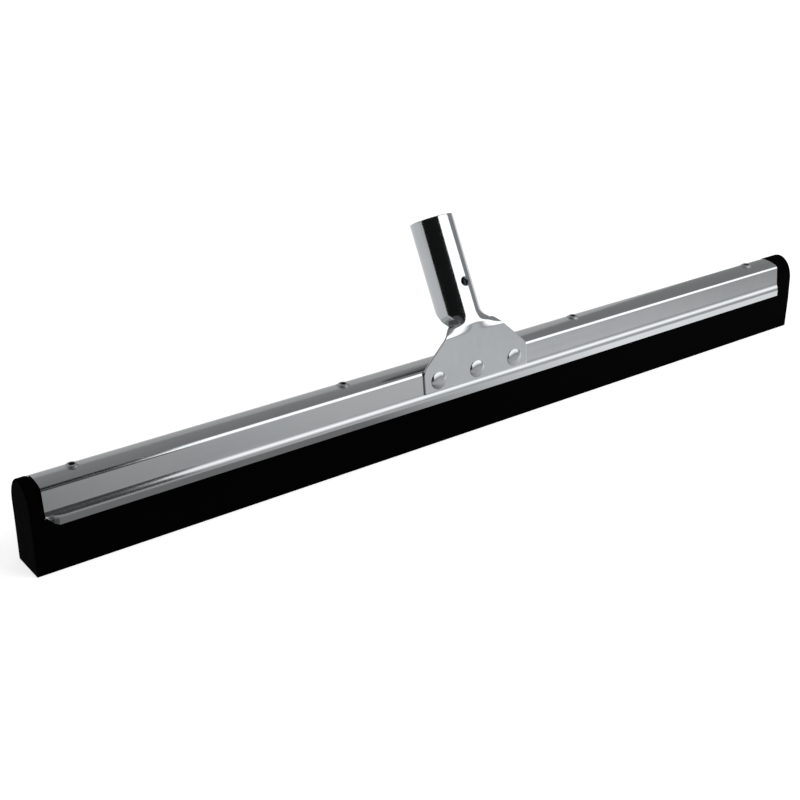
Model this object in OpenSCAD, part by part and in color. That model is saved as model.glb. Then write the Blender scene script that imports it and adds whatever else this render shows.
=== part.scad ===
// Floor squeegee head: a folded foam blade in a riveted sheet metal frame, with a rolled handle socket.
// Millimetres. X runs along the blade, -Y is the front, where the socket's plate is riveted, and Z is up.
// The origin is on the floor, under the middle of the frame and between the blade's two lips.

/* [Blade] */
// Length of the foam blade
blade_l = 550; // [400:1:750]
// Thickness across the two lips at the floor
blade_floor_w = 23; // [21:0.5:28]
// Thickness at the foot of the frame's walls, where the frame grips the foam
blade_neck_w = 20.8; // [19:0.1:23]
// Height from the floor to the top of the fold
blade_h = 46.7; // [46:0.1:54]
// How far the blade sits to the right of the frame's middle
blade_shift = 4; // [-5:0.5:5]
// Gap between the two lips
lip_gap = 0.4; // [0.2:0.1:0.5]
// Thickness of the foam above the retaining strip
fold_t = 10.6; // [9.5:0.1:12]
// Height over which the lips swell below the frame's lower edge
swell_h = 6; // [2:0.5:12]

/* [Frame] */
// Length of the frame
frame_l = 528; // [380:1:730]
// Thickness of the frame's sheet
frame_sheet = 0.8; // [0.6:0.1:1.2]
// Height of the foot of the walls above the floor
wall_foot_z = 33; // [31:0.5:34]
// Angle by which the walls spread towards the floor
wall_flare = 7; // [4:0.5:10]
// Radius of the arched top
crown_r = 28; // [24:1:60]
// Outer radius of the bend between the top and the front wall
shoulder_r = 3; // [2:0.1:3.5]
// Softness of the bend between the top and the back wall, as a share of the largest radius that fits there
back_softness = 0.91; // [0.6:0.01:0.97]
// Height of the frame's lower edge above the floor
skirt_z = 25.8; // [22:0.1:27]
// Slope of the step from the walls out to the skirt
step_angle = 35; // [25:1:50]
// Inner radius of the two bends of that step
step_r = 2; // [1:0.1:2.5]
// Size of the corner trimmed off the skirt at the left of the front
corner_trim = 5.2; // [2:0.1:6]

/* [Retaining strip] */
// How far the steel strip inside the fold passes the outer ridge rivets
strip_overrun = 14; // [6:1:20]
// Width of the strip
strip_w = 8; // [7.5:0.1:9]
// Thickness of the strip
strip_t = 2; // [1:0.1:2.5]

/* [Ridge rivets] */
// Distance from the middle to the two inner rivets
ridge_inner_x = 85; // [60:1:150]
// Distance from the frame's ends to the two outer rivets
ridge_end_gap = 20.5; // [15:0.5:30]
// Diameter of the shank
ridge_shank_d = 4.8; // [4.2:0.1:5.4]
// Diameter of the hole through the rivet
ridge_bore_d = 3.4; // [2:0.1:3.6]
// Diameter of the ring that shows on the ridge
ridge_head_d = 8; // [7:0.1:9]
// Height of the ring
ridge_head_h = 1; // [0.8:0.1:1.6]
// Diameter of the flared tail under the strip
ridge_tail_d = 6.8; // [6:0.1:7.4]
// Height of the tail
ridge_tail_h = 1; // [0.6:0.1:1.4]

/* [Handle socket] */
// Thickness of the socket's sheet
socket_sheet = 1.2; // [1:0.1:1.5]
// Diameter of the bore that takes the handle
socket_bore_d = 23.2; // [20:0.1:26]
// Angle by which the handle leans back
socket_lean = 29; // [20:1:40]
// Length of the tube above the point where its front line would meet the plate
tube_reach = 63.5; // [55:0.5:90]
// Width of the plate
plate_w = 77.4; // [74:0.1:84]
// Height of the plate's upright sides
plate_side_h = 14; // [12:0.5:16]
// Radius of the corners above those sides
plate_corner_r = 5; // [2:0.5:8]
// Slope of the plate's shoulders
plate_slope = 44; // [40:1:48]
// Gap between the plate's lower edge and the foot of the wall
plate_gap = 0.3; // [0.2:0.1:1]
// Height of the bend between the plate and the tube, measured up the plate
bend_h = 34.5; // [32:0.5:38]
// Radius of that bend
bend_r = 14; // [8:1:20]
// How far below the bend the sheet begins to curl
curl_below = 8.5; // [6:0.5:9.5]
// How far above the bend the sheet has curled to the tube's radius
curl_above = 10; // [8:0.5:12]
// Height above the bend of the tube's slanted lower end, at the tube's sides
wing_side_h = 5.5; // [4:0.5:7]
// Slope of that lower end towards the back
wing_angle = 41; // [35:1:45]
// Softness of the notch between the plate's shoulder and the tube's lower end
notch_ease = 1.5; // [1:0.1:2.5]
// Gap of the seam at the back of the tube
seam_gap = 0.8; // [0.5:0.1:1.5]
// Diameter of the hole for the handle's screw
screw_hole_d = 5.5; // [4:0.1:6]
// Distance of the screw hole from the mouth of the tube
screw_hole_depth = 39.8; // [20:0.1:42]
// Angle of the screw hole to the right of the tube's front line
screw_hole_turn = 7; // [-10:1:10]

/* [Socket rivets] */
// Distance from one rivet to the next
socket_rivet_pitch = 28; // [24:0.5:31]
// Height of the rivets above the foot of the wall
socket_rivet_h = 6.6; // [6:0.1:6.8]
// Diameter of the shank
socket_shank_d = 5; // [4:0.1:6]
// Diameter of the domed head
socket_head_d = 10.2; // [9:0.1:11]
// Height of the domed head
socket_head_h = 2.2; // [1.5:0.1:3]
// Diameter of the flattened tail behind the wall
socket_tail_d = 8; // [7:0.1:8.4]
// Height of the tail
socket_tail_h = 1.2; // [0.8:0.1:1.5]

/* [Fits] */
// Room between the foam and everything that it meets
foam_clearance = 0.3; // [0.2:0.05:0.4]
// Room round a rivet's shank in the holes that it passes through
rivet_clearance = 0.1; // [0.05:0.05:0.2]

/* [Hidden] */

$fn = 64;
// Straight pieces that stand for a bend, and for a rounded outline
bend_steps = 6;
round_steps = 12;
// How far a cutter passes a face
past = 1;

steel = "#b9bdbf";
bright_steel = "#d2d5d6";
black_foam = "#17181a";

// Frame: the outer face of a wall passes through its foot at this distance from the middle
frame_top = blade_h + foam_clearance + frame_sheet;
wall_y = blade_neck_w / 2 + foam_clearance + frame_sheet / cos(wall_flare);
crown_z = frame_top - crown_r;
wall_offset = wall_y * cos(wall_flare) + (wall_foot_z - crown_z) * sin(wall_flare);
back_shoulder_r = back_softness * (wall_offset - crown_r * sin(wall_flare)) / (1 - sin(wall_flare));
wall_out = [cos(wall_flare), sin(wall_flare)];
step_out = [cos(step_angle), sin(step_angle)];
upper_bend_c = [wall_y, wall_foot_z] + step_r * wall_out;
lower_bend_r = step_r + frame_sheet;
lower_bend_c = upper_bend_c - (step_r + lower_bend_r) * step_out;
skirt_y = lower_bend_c[0] + lower_bend_r;
front_left = -frame_l / 2;

// Fold of the blade and what lies in it, from the top down
strip_top = blade_h - fold_t;
strip_bottom = strip_top - strip_t;
pocket_half_w = strip_w / 2 + foam_clearance;
pocket_bottom = strip_bottom - ridge_tail_h - foam_clearance;
ridge_outer_x = frame_l / 2 - ridge_end_gap;
ridge_x = [-ridge_outer_x, -ridge_inner_x, ridge_inner_x, ridge_outer_x];
strip_l = 2 * (ridge_outer_x + strip_overrun);

// Handle socket: the sheet's middle line runs up the plate, round the bend and up the tube's front
tube_r = socket_bore_d / 2 + socket_sheet;
curl_r = tube_r - socket_sheet / 2;
bend_angle = socket_lean - wall_flare;
bend_tangent = bend_r * tan(bend_angle / 2);
bend_l = bend_r * bend_angle * PI / 180;
bend_from = bend_h - bend_tangent;
bend_to = bend_from + bend_l;
// Distance up the middle line at which the tube's own length is counted from
tube_zero = bend_to - bend_tangent;
mouth_at = tube_zero + tube_reach;
curl_from = bend_h - curl_below;
curl_to = tube_zero + curl_above;
wing_back_h = wing_side_h + tube_r * tan(wing_angle);
tube_from = tube_zero + wing_back_h;
// The curled sheet runs into the flat plate and into the round tube, just inside their faces
plate_join = curl_from - 3;
join_l = 1;
join_skin = 0.08;
sheet_columns = 32;
sheet_rows = 24;

function arc(c, r, from, to, steps) =
    [for (i = [0:steps]) let (a = from + (to - from) * i / steps) c + r * [cos(a), sin(a)]];
function reversed(list) = [for (i = [len(list) - 1:-1:0]) list[i]];
function mirrored(list) = [for (p = list) [-p[0], p[1]]];
function soft_step(t) = t <= 0 ? 0 : t >= 1 ? 1 : t * t * (3 - 2 * t);

// Angle of the crown's arch up to a bend of radius r, and the centre of that bend
function crown_angle(r) = asin((wall_offset - r) / (crown_r - r)) - wall_flare;
function shoulder_c(r) = [0, crown_z] + (crown_r - r) * [sin(crown_angle(r)), cos(crown_angle(r))];
// Half of the frame's section as [Y, Z], from the top of the crown to the skirt's lower edge,
// this deep in the sheet, with a bend of radius r below the crown
function frame_half(r, depth) = concat(
    arc([0, crown_z], crown_r - depth, 90, 90 - crown_angle(r), bend_steps),
    arc(shoulder_c(r), r - depth, 90 - crown_angle(r), wall_flare, bend_steps),
    arc(upper_bend_c, step_r + depth, 180 + wall_flare, 180 + step_angle, bend_steps),
    arc(lower_bend_c, lower_bend_r - depth, step_angle, 0, bend_steps),
    [[skirt_y - depth, skirt_z]]
);
function frame_line(depth) = let (back = frame_half(back_shoulder_r, depth))
    concat(mirrored(reversed(frame_half(shoulder_r, depth))), [for (i = [1:len(back) - 1]) back[i]]);

// Half thickness that a wall, and then the softer bend above it, leaves for the foam at this height
function grip(z) = wall_y - frame_sheet / cos(wall_flare) - foam_clearance
    - (z - wall_foot_z) * tan(wall_flare);
function bend_room(z) = let (
        c = shoulder_c(back_shoulder_r),
        r = back_shoulder_r - frame_sheet - foam_clearance,
        up = z - c[1]
    ) up < r * sin(wall_flare) ? grip(z) : c[0] + sqrt(max(0, r * r - up * up));
function fold_point(a) = let (z = wall_foot_z + (blade_h - wall_foot_z) * sin(a))
    [min(blade_neck_w / 2 * cos(a), bend_room(z)), z];
function blade_half() = concat(
    [[lip_gap / 2, 0], [blade_floor_w / 2, 0], [blade_floor_w / 2, skirt_z - swell_h]],
    [[skirt_y - frame_sheet - foam_clearance, skirt_z]],
    [for (i = [0:round_steps]) fold_point(90 * i / round_steps)]
);

// Point [Y, Z] of the socket's middle line at this distance up it
function plate_line(k) = [-wall_y, wall_foot_z] + socket_sheet / 2 * [-cos(wall_flare), sin(wall_flare)]
    + k * [sin(wall_flare), cos(wall_flare)];
function bend_line(lean) = plate_line(bend_from)
    + bend_r * [cos(wall_flare) - cos(lean), sin(lean) - sin(wall_flare)];
function middle_line(k) = k <= bend_from ? plate_line(k)
    : k <= bend_to ? bend_line(lean_at(k))
    : bend_line(socket_lean) + (k - bend_to) * [sin(socket_lean), cos(socket_lean)];
function lean_at(k) = k <= bend_from ? wall_flare
    : k >= bend_to ? socket_lean
    : wall_flare + bend_angle * (k - bend_from) / bend_l;

// Half width of the flat sheet at this distance up the middle line: plate's shoulder, then tube's wing
function shoulder_half(k) = plate_w / 2 - (k - plate_side_h) / tan(plate_slope);
function wing_half(k) = let (behind = (k - tube_zero - wing_side_h) / tan(wing_angle) / tube_r)
    curl_r * acos(max(-1, min(1, -behind))) * PI / 180;
function sheet_half(k) = let (a = shoulder_half(k), b = wing_half(k))
    min((a + b + sqrt((a - b) * (a - b) + 4 * notch_ease * notch_ease)) / 2, curl_r * PI - seam_gap / 2);

// Point of the curled sheet: u across it, k up it, and off along its outward normal
function sheet_point(u, k, off) = let (
        curl = max(soft_step((k - curl_from) / (curl_to - curl_from)), 0.0001) / curl_r,
        turn = curl * u * 180 / PI,
        lean = lean_at(k),
        back = (1 - cos(turn)) / curl - off * cos(turn),
        m = middle_line(k)
    ) [sin(turn) / curl + off * sin(turn), m[0] + back * cos(lean), m[1] - back * sin(lean)];

// Places a flat section [Y, Z] along the blade
module along_blade(length) {
    rotate([90, 0, 90])
        linear_extrude(height = length, center = true)
            children();
}

// Works on the front wall: X along it, Y up it, Z out of it, with Z = 0 on its outer face
module on_front_wall() {
    translate([0, -wall_y, wall_foot_z])
        rotate([90 - wall_flare, 0, 0])
            children();
}

// Works on the tube: Z along its axis towards the mouth, -Y at its front line,
// Z = 0 at this distance up the sheet
module on_tube(k) {
    at = middle_line(k) + curl_r * [cos(socket_lean), -sin(socket_lean)];
    translate([0, at[0], at[1]])
        rotate([-socket_lean, 0, 0])
            children();
}

module socket_rivet_places() {
    for (i = [-1:1])
        on_front_wall()
            translate([i * socket_rivet_pitch, socket_rivet_h, 0])
                children();
}

// Foam strip folded once, with a gap between its two lips and a pocket for the retaining strip
module foam_blade() {
    half = blade_half();
    pocket = [
        [lip_gap / 2, pocket_bottom - pocket_half_w],
        [pocket_half_w, pocket_bottom],
        [pocket_half_w, strip_top + foam_clearance]
    ];
    color(black_foam)
        difference() {
            translate([blade_shift, 0, 0])
                along_blade(blade_l)
                    difference() {
                        polygon(concat(half, mirrored(reversed(half))));
                        translate([-lip_gap / 2, -past])
                            square([lip_gap, pocket_bottom + past]);
                    }
            along_blade(strip_l + 2 * foam_clearance)
                polygon(concat(pocket, mirrored(reversed(pocket))));
            for (x = ridge_x)
                translate([x, 0, strip_top])
                    cylinder(d = ridge_shank_d + 2 * foam_clearance, h = fold_t + past);
            socket_rivet_places()
                translate([0, 0, -frame_sheet - socket_tail_h - foam_clearance])
                    cylinder(d = socket_tail_d + 2 * foam_clearance, h = socket_tail_h + 2 * foam_clearance);
        }
}

// Sheet channel over the blade, with one corner of its front skirt trimmed
module frame_channel() {
    color(steel)
        difference() {
            along_blade(frame_l)
                polygon(concat(frame_line(0), reversed(frame_line(frame_sheet))));
            for (x = ridge_x)
                translate([x, 0, blade_h])
                    cylinder(d = ridge_shank_d + 2 * rivet_clearance, h = frame_top - blade_h + past);
            socket_rivet_places()
                translate([0, 0, -frame_sheet - past])
                    cylinder(d = socket_shank_d + 2 * rivet_clearance, h = frame_sheet + 2 * past);
            translate([front_left, 0, skirt_z])
                rotate([90, 0, 0])
                    linear_extrude(height = skirt_y + past)
                        polygon([[-past, -past], [corner_trim + past, -past], [-past, corner_trim + past]]);
        }
}

// Flat strip in the fold, which the ridge rivets pull up against the foam
module retaining_strip() {
    color(bright_steel)
        difference() {
            translate([-strip_l / 2, -strip_w / 2, strip_bottom])
                cube([strip_l, strip_w, strip_t]);
            for (x = ridge_x)
                translate([x, 0, strip_bottom - past])
                    cylinder(d = ridge_shank_d + 2 * rivet_clearance, h = strip_t + 2 * past);
        }
}

// Hollow rivet through the frame's top, the fold and the strip, with a raised ring on the ridge
module ridge_rivet(x) {
    bore = ridge_bore_d / 2;
    rim = (ridge_head_d / 2 - bore) / 2;
    edge_h = ridge_head_h / 3;
    ring = [for (i = [0:round_steps]) let (a = 180 * i / round_steps)
        [bore + rim + rim * cos(a), frame_top + edge_h + (ridge_head_h - edge_h) * sin(a)]];
    color(bright_steel)
        translate([x, 0, 0])
            rotate_extrude()
                polygon(concat(
                    [[bore, strip_bottom - ridge_tail_h], [ridge_tail_d / 2, strip_bottom - ridge_tail_h]],
                    [[ridge_tail_d / 2, strip_bottom], [ridge_shank_d / 2, strip_bottom]],
                    [[ridge_shank_d / 2, frame_top], [ridge_head_d / 2, frame_top]],
                    ring
                ));
}

// Flat part of the socket, against the front wall, with its three rivet holes
module socket_plate() {
    top_half = shoulder_half(plate_join);
    corner_c = [
        plate_w / 2 - plate_corner_r,
        plate_side_h - plate_corner_r * tan((90 - plate_slope) / 2)
    ];
    half = concat(
        [[plate_w / 2, plate_gap]],
        arc(corner_c, plate_corner_r, 0, 90 - plate_slope, bend_steps),
        [[top_half, plate_join]]
    );
    on_front_wall()
        difference() {
            linear_extrude(height = socket_sheet)
                polygon(concat(half, mirrored(reversed(half))));
            for (i = [-1:1])
                translate([i * socket_rivet_pitch, socket_rivet_h, -past])
                    cylinder(d = socket_shank_d + 2 * rivet_clearance, h = socket_sheet + 2 * past);
        }
}

// Curled part of the socket, between the plate and the tube
module socket_curl() {
    first = plate_join - join_l;
    last = tube_from + join_l;
    wide = sheet_columns + 1;
    half_sheet = socket_sheet / 2 - join_skin;
    points = [
        for (side = [1, -1], i = [0:sheet_rows], j = [0:sheet_columns])
            let (k = first + (last - first) * i / sheet_rows)
                sheet_point((2 * j / sheet_columns - 1) * (sheet_half(k) - join_skin), k, side * half_sheet)
    ];
    inner = wide * (sheet_rows + 1);
    end = wide * sheet_rows;
    faces = [
        for (i = [0:sheet_rows - 1], j = [0:sheet_columns - 1])
            let (a = i * wide + j)
                each [
                    [a, a + wide, a + 1],
                    [a + 1, a + wide, a + wide + 1],
                    [inner + a, inner + a + 1, inner + a + wide],
                    [inner + a + 1, inner + a + wide + 1, inner + a + wide]
                ],
        for (i = [0:sheet_rows - 1])
            let (a = i * wide, b = a + sheet_columns)
                each [
                    [a, inner + a, a + wide],
                    [a + wide, inner + a, inner + a + wide],
                    [b, b + wide, inner + b],
                    [b + wide, inner + b + wide, inner + b]
                ],
        for (j = [0:sheet_columns - 1])
            each [
                [j, j + 1, inner + j],
                [j + 1, inner + j + 1, inner + j],
                [end + j, inner + end + j, end + j + 1],
                [end + j + 1, inner + end + j, inner + end + j + 1]
            ]
    ];
    polyhedron(points, faces);
}

// Round part of the socket, with its seam at the back and the hole for the handle's screw
module socket_tube() {
    tube_l = mouth_at - tube_from;
    on_tube(tube_from)
        difference() {
            cylinder(r = tube_r, h = tube_l);
            translate([0, 0, -past])
                cylinder(d = socket_bore_d, h = tube_l + 2 * past);
            translate([-seam_gap / 2, 0, -past])
                cube([seam_gap, tube_r + past, tube_l + 2 * past]);
            translate([0, 0, tube_l - screw_hole_depth])
                rotate([90, 0, screw_hole_turn])
                    cylinder(d = screw_hole_d, h = tube_r + past);
        }
}

// Plate and tube rolled from one sheet
module handle_socket() {
    color(bright_steel)
        union() {
            socket_plate();
            socket_curl();
            socket_tube();
        }
}

// Solid rivet through the plate and the front wall, with a domed head and a flattened tail
module socket_rivet(x) {
    head_r = socket_head_d / 2;
    dome_r = (head_r * head_r + socket_head_h * socket_head_h) / (2 * socket_head_h);
    dome_c = [0, socket_sheet + socket_head_h - dome_r];
    tail_end = -frame_sheet - socket_tail_h;
    color(bright_steel)
        on_front_wall()
            translate([x, socket_rivet_h, 0])
                rotate_extrude()
                    polygon(concat(
                        [[0, tail_end], [socket_tail_d / 2, tail_end], [socket_tail_d / 2, -frame_sheet]],
                        [[socket_shank_d / 2, -frame_sheet], [socket_shank_d / 2, socket_sheet]],
                        arc(dome_c, dome_r, acos(head_r / dome_r), 90, round_steps)
                    ));
}

foam_blade();
frame_channel();
retaining_strip();
ridge_rivet(ridge_x[0]);  // ridge_rivet_far_left
ridge_rivet(ridge_x[1]);  // ridge_rivet_left
ridge_rivet(ridge_x[2]);  // ridge_rivet_right
ridge_rivet(ridge_x[3]);  // ridge_rivet_far_right
handle_socket();
socket_rivet(-socket_rivet_pitch);  // socket_rivet_left
socket_rivet(0);  // socket_rivet_centre
socket_rivet(socket_rivet_pitch);  // socket_rivet_right
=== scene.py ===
from math import acos, asin, copysign, cos, pi, radians, sin, sqrt, tan

import bmesh
import bpy
from bpy.types import Operator, Panel, PropertyGroup
from mathutils import Matrix, Vector


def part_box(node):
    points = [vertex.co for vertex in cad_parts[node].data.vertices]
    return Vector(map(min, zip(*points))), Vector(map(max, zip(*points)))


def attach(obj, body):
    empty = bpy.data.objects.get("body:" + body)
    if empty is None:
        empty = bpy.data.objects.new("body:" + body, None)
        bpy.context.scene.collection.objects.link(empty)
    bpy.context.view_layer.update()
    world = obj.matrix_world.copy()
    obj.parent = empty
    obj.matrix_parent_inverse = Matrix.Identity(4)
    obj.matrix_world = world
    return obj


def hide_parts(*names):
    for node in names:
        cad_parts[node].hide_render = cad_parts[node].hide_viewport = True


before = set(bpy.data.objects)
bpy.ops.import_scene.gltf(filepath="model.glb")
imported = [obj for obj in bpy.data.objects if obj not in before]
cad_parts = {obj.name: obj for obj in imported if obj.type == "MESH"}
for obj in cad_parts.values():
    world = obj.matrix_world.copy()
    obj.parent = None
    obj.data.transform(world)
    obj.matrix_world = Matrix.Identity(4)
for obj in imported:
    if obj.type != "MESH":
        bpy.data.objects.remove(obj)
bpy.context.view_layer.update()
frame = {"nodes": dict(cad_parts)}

# Dresses the head of a floor squeegee: a foam blade in a riveted sheet frame, with a rolled handle socket.
# Metres, in the frame of the CAD model: X along the blade, -Y the front, Z up, origin on the floor.

bl_info = {
    "name": "Floor squeegee head",
    "version": (1, 0, 0),
    "blender": (4, 5, 0),
    "location": "3D View > Sidebar > Squeegee",
    "description": "Builds the visible pieces of a floor squeegee head and a plain studio round it",
    "category": "Add Mesh",
}

MM = 0.001
BODY = "root"
frame_low, frame_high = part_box("frame_channel")
blade_low, blade_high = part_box("foam_blade")


def linear(hex_colour):
    """Linear RGB of an sRGB hex colour."""
    parts = [int(hex_colour[i:i + 2], 16) / 255 for i in (1, 3, 5)]
    return tuple(c / 12.92 if c <= 0.04045 else ((c + 0.055) / 1.055) ** 2.4 for c in parts)


def setting(convert=float, make=bpy.props.FloatProperty, **kind):
    """A maker of settings of one kind, each from a name, a description and a default."""
    def maker(name, description, value):
        return make(name=name, description=description, default=convert(value), **kind)
    return maker


length = setting(unit="LENGTH", precision=4)
angle = setting(radians, subtype="ANGLE")
level = setting()
colour = setting(linear, bpy.props.FloatVectorProperty, subtype="COLOR", size=3, min=0, max=1)
position = setting(tuple, bpy.props.FloatVectorProperty, subtype="TRANSLATION", size=3)


class BladeSettings(PropertyGroup):
    """Sizes and colours of the foam blade."""
    left: length("Left end", "Where the blade begins", blade_low[0])
    right: length("Right end", "Where the blade ends", blade_high[0])
    floor_w: length("Floor thickness", "Thickness across the two lips at the floor", 23 * MM)
    neck_w: length("Neck thickness", "Thickness where the frame grips the foam", 20.8 * MM)
    top: length("Top", "Height of the fold inside the frame", blade_high[2])
    waist_z: length("Waist", "Height at which the lips begin to narrow", 19.8 * MM)
    lip_gap: length("Lip gap", "Gap between the two lips", 0.2 * MM)
    slit_top: length("Slit top", "Height of the upper end of the gap", 32.8 * MM)
    end_rise: length("End rise", "How much higher the foam stands where no frame holds it", 1.7 * MM)
    end_back: length("End spread, back", "How much the free ends swell at the back", 1.5 * MM)
    end_front: length("End spread, front", "How much the free ends swell at the front", 0.5 * MM)
    edge_r: length("Edge radius", "Rounding of the cut edges", 0.8 * MM)
    dark: colour("Foam, dark", "Colour between the cells", "#020202")
    light: colour("Foam, light", "Colour of the skin", "#050506")


class FrameSettings(PropertyGroup):
    """Sizes and colours of the sheet frame."""
    left: length("Left end", "Where the frame begins", frame_low[0])
    right: length("Right end", "Where the frame ends", frame_high[0])
    top: length("Top", "Height of the crown", frame_high[2])
    skirt_z: length("Skirt", "Height of the lower edge", 25.85 * MM)
    sheet: length("Sheet", "Thickness of the sheet", 0.8 * MM)
    foot_z: length("Wall foot", "Height of the foot of the walls", 33 * MM)
    wall_y: length("Wall", "Distance of the foot of the walls from the middle", 11.506 * MM)
    flare: angle("Wall flare", "Angle by which the walls spread", 7)
    crown_r: length("Crown radius", "Radius of the arched top", 28 * MM)
    front_r: length("Front bend", "Radius of the bend above the front wall", 3 * MM)
    back_r: length("Back bend", "Radius of the softer bend above the back wall", 9.97 * MM)
    turn_z: length("Turn", "Height at which the walls begin to turn out to the skirt", 34.7 * MM)
    hollow_r: length("Hollow bend", "Radius of the hollow bend there", 8 * MM)
    round_r: length("Round bend", "Radius of the round bend above the skirt", 8 * MM)
    step_angle: angle("Step slope", "Greatest slope between the two bends", 26)
    skirt_flare: angle("Skirt flare", "Angle by which the skirt spreads", 1.5)
    trim: length("Corner trim", "Size of the corner cut off the skirt at the left", 5.2 * MM)
    press: length("Corner press", "How far the trimmed corner is pressed in", 3 * MM)
    edge_r: length("Edge radius", "Rounding of the cut edges", 0.15 * MM)
    zinc_dark: colour("Zinc, dark", "Darker patches of the coating", "#a0a3a5")
    zinc_light: colour("Zinc, light", "Lighter patches of the coating", "#a5a7a8")


class SocketSettings(PropertyGroup):
    """Sizes and colours of the handle socket."""
    sheet: length("Sheet", "Thickness of the sheet", 1.2 * MM)
    bore_d: length("Bore", "Diameter of the bore", 23.2 * MM)
    lean: angle("Lean", "Angle by which the handle leans back", 29)
    reach: length("Reach", "Length of the tube above the bend", 63.5 * MM)
    plate_w: length("Plate width", "Width of the plate", 75.4 * MM)
    side_h: length("Plate sides", "Height of the plate's upright sides", 14 * MM)
    corner_r: length("Plate corners", "Radius above the upright sides", 5 * MM)
    slope: angle("Plate slope", "Slope of the plate's shoulders", 42.9)
    foot_gap: length("Plate gap", "Gap under the plate's lower edge", 0.3 * MM)
    bend_h: length("Bend height", "Height of the bend above the wall's foot", 34.5 * MM)
    bend_r: length("Bend radius", "Radius of that bend", 5 * MM)
    curl_from: length("Curl from", "Height at which the sheet begins to curl", 28.9 * MM)
    curl_l: length("Curl length", "Height over which the middle of the sheet curls fully", 13 * MM)
    curl_spread: level("Curl spread", "How much more height that takes for each length away from the middle", 0.06)
    curl_reach: length("Curl reach", "How far from the middle that height grows", 30 * MM)
    wing_h: length("Wing height", "Height of the tube's lower end at its sides", 5.5 * MM)
    wing_angle: angle("Wing slope", "Slope of the tube's lower end", 41)
    notch: length("Notch", "Softness of the notch below the wing", 1.5 * MM)
    seam: length("Seam", "Gap at the back of the tube", 0.8 * MM)
    hole_d: length("Screw hole", "Diameter of the screw hole", 5.5 * MM)
    hole_depth: length("Screw hole depth", "Distance of the hole from the mouth", 39.8 * MM)
    hole_turn: angle("Screw hole turn", "Angle of the hole to the right", 7)
    edge_r: length("Edge radius", "Rounding of the cut edges", 0.35 * MM)
    zinc_dark: colour("Plating, dark", "Darker patches of the plating", "#a3a7aa")
    zinc_light: colour("Plating, light", "Lighter patches of the plating", "#a8abad")


class RivetSettings(PropertyGroup):
    """Sizes and colours of the rivets and of the strip that they hold."""
    ridge_inner: length("Inner ridge rivets", "Their distance from the middle", 85 * MM)
    ridge_outer: length("Outer ridge rivets", "Their distance from the middle", 243.5 * MM)
    ring_d: length("Ring", "Diameter of the ring on the ridge", 8 * MM)
    ring_h: length("Ring height", "Height of that ring", 1 * MM)
    bore_d: length("Rivet bore", "Diameter of the hole through the rivet", 3.4 * MM)
    shank_d: length("Ridge shank", "Diameter of the hollow shank", 4.8 * MM)
    tail_d: length("Ridge tail", "Diameter of the flared tail", 6.8 * MM)
    tail_h: length("Tail height", "Height of that tail", 1 * MM)
    strip_z: length("Strip", "Height of the strip's lower face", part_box("retaining_strip")[0][2])
    pitch: length("Pitch", "Distance between the plate's rivets", 28 * MM)
    height: length("Height", "Height of the plate's rivets above the wall's foot", 6.6 * MM)
    head_d: length("Head", "Diameter of the domed heads", 10.2 * MM)
    head_h: length("Head height", "Height of the domed heads", 1.25 * MM)
    pin_d: length("Shank", "Diameter of the solid shanks", 5 * MM)
    pin_tail_d: length("Tail", "Diameter of their flattened tails", 8 * MM)
    pin_tail_h: length("Tail height", "Height of those tails", 1.2 * MM)
    # The rivets' colours are the plate's zinc plating painted darker: painted shade that tones down what the domes
    # mirror
    steel_dark: colour("Rivet steel, dark", "Darker patches", "#8f9294")
    steel_light: colour("Rivet steel, light", "Lighter patches", "#999b9c")
    strip_dark: colour("Strip, dark", "Darker lines of the rolled strip", "#85888a")
    strip_light: colour("Strip, light", "Lighter lines of the rolled strip", "#a1a3a4")


class StageSettings(PropertyGroup):
    """Camera, floor and light."""
    lens: level("Lens", "Focal length in millimetres on a 36 mm sensor", 62.09)
    place: position("Camera", "Where the camera stands", (-0.46854, -0.56462, 0.36212))
    heading: angle("Heading", "Turn of the view from straight ahead to the right", 36.79)
    drop: angle("Drop", "How far the view looks down", 25.35)
    roll: angle("Roll", "Tilt of the camera", 0.44)
    floor: colour("Floor", "Colour of the floor", "#f4f4f4")
    floor_lift: level("Floor lift", "Share of white that the floor shows by itself", 0.7)
    fill: level("Fill", "Light from all round on dull surfaces", 0.3)
    key: level("Key", "Power of the large soft lamp in watts", 30)
    card_y: length("Front cards", "Distance of the softbox and the black card ahead of the object", 0.36)
    softbox: level("Softbox", "Brightness of the softbox", 3)
    black_card: level("Black card", "Brightness of the black card", 0.015)
    side_card: level("Side card", "Brightness of the card on the right", 0.45)
    low_card: level("Low card", "Brightness of the card low behind the object", 0.75)
    high_card: level("High card", "Brightness of the card high behind the object", 0.45)


class SqueegeeSettings(PropertyGroup):
    """All settings of the part."""
    blade: bpy.props.PointerProperty(type=BladeSettings)
    frame: bpy.props.PointerProperty(type=FrameSettings)
    socket: bpy.props.PointerProperty(type=SocketSettings)
    rivets: bpy.props.PointerProperty(type=RivetSettings)
    stage: bpy.props.PointerProperty(type=StageSettings)


def placed(name, data):
    """A new object with this data, in the scene."""
    obj = bpy.data.objects.new(name, data)
    bpy.context.collection.objects.link(obj)
    return obj


def emptied(owner):
    """Node tree of a new material or world, with nothing in it."""
    owner.use_nodes = True
    owner.node_tree.nodes.clear()
    return owner.node_tree


def add(tree, kind, inputs=None, **settings):
    """Adds one node, sets its properties, and gives each named input a value or a link.

    A node given as a value stands for its first output.
    """
    node = tree.nodes.new(kind)
    for key, value in settings.items():
        setattr(node, key, value)
    for key, value in (inputs or {}).items():
        if isinstance(value, bpy.types.Node):
            value = value.outputs[0]
        if isinstance(value, bpy.types.NodeSocket):
            tree.links.new(value, node.inputs[key])
        else:
            node.inputs[key].default_value = value
    return node


def new_material(name):
    """A new material and its node tree."""
    material = bpy.data.materials.new(name)
    return material, emptied(material)


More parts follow.
